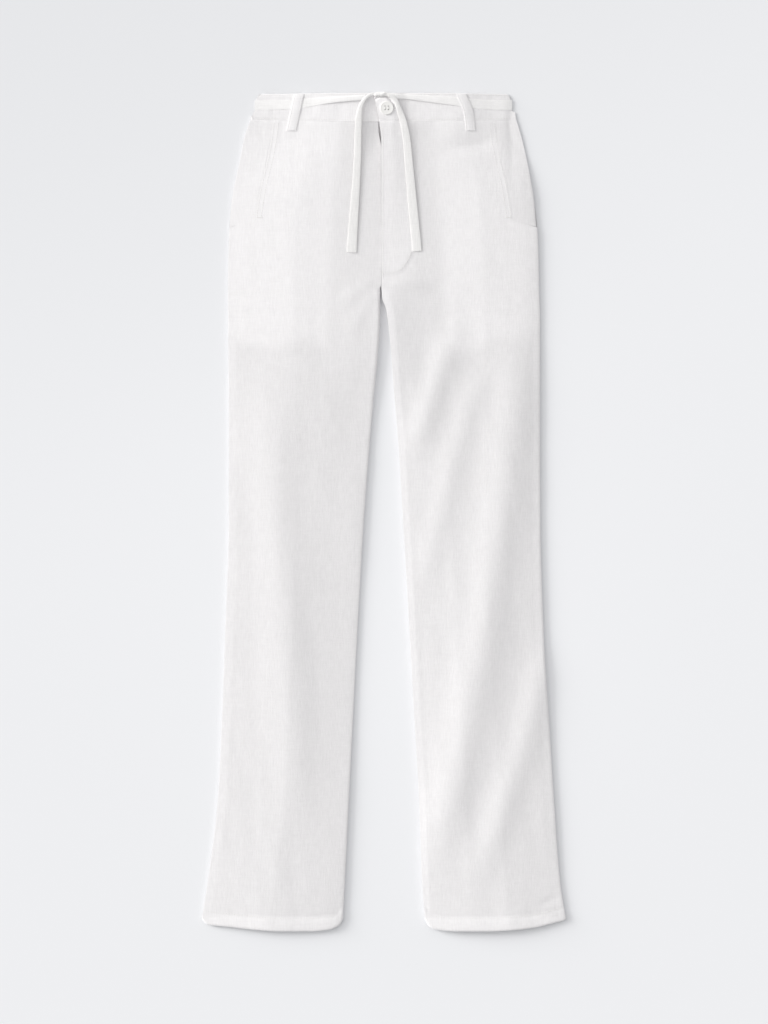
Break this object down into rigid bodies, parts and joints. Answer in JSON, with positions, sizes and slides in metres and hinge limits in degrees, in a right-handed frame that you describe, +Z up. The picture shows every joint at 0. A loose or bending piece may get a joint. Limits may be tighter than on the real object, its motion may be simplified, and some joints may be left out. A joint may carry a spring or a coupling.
{
  "type": "chinos",
  "caption": "Light linen-look chinos laid flat, front up: straight legs, slant pockets, buttoned fly and a tape tied through belt loops at the waist.",
  "frame": {"origin": "on the surface that the garment lies on, under the middle of its outline", "axes": "+X to the wearer's left, +Y to the waist, +Z up out of the front"},
  "size_m": [0.4622, 1.0677, 0.0175],
  "materials": {
    "linen": "off-white slubbed linen plain weave, matte",
    "tape": "off-white flat tape of the same cloth, matte",
    "button": "off-white, soft gloss"
  },
  "bodies": {
    "root": {"front_left": "linen", "front_right": "linen", "back_left": "linen", "back_right": "linen", "pocket_facing_left": "linen", "pocket_facing_right": "linen", "waistband_left": "linen", "waistband_right": "linen", "fly_underlap": "linen", "belt_loop_front_left": "linen", "belt_loop_front_right": "linen", "belt_loop_back_left": "linen", "belt_loop_back_centre": "linen", "belt_loop_back_right": "linen", "tie_waist_left": "tape", "tie_waist_right": "tape", "tie_waist_back": "tape", "tie_knot": "tape", "tie_end_left": "tape", "tie_end_right": "tape", "button": "button"}
  },
  "joints": []
}
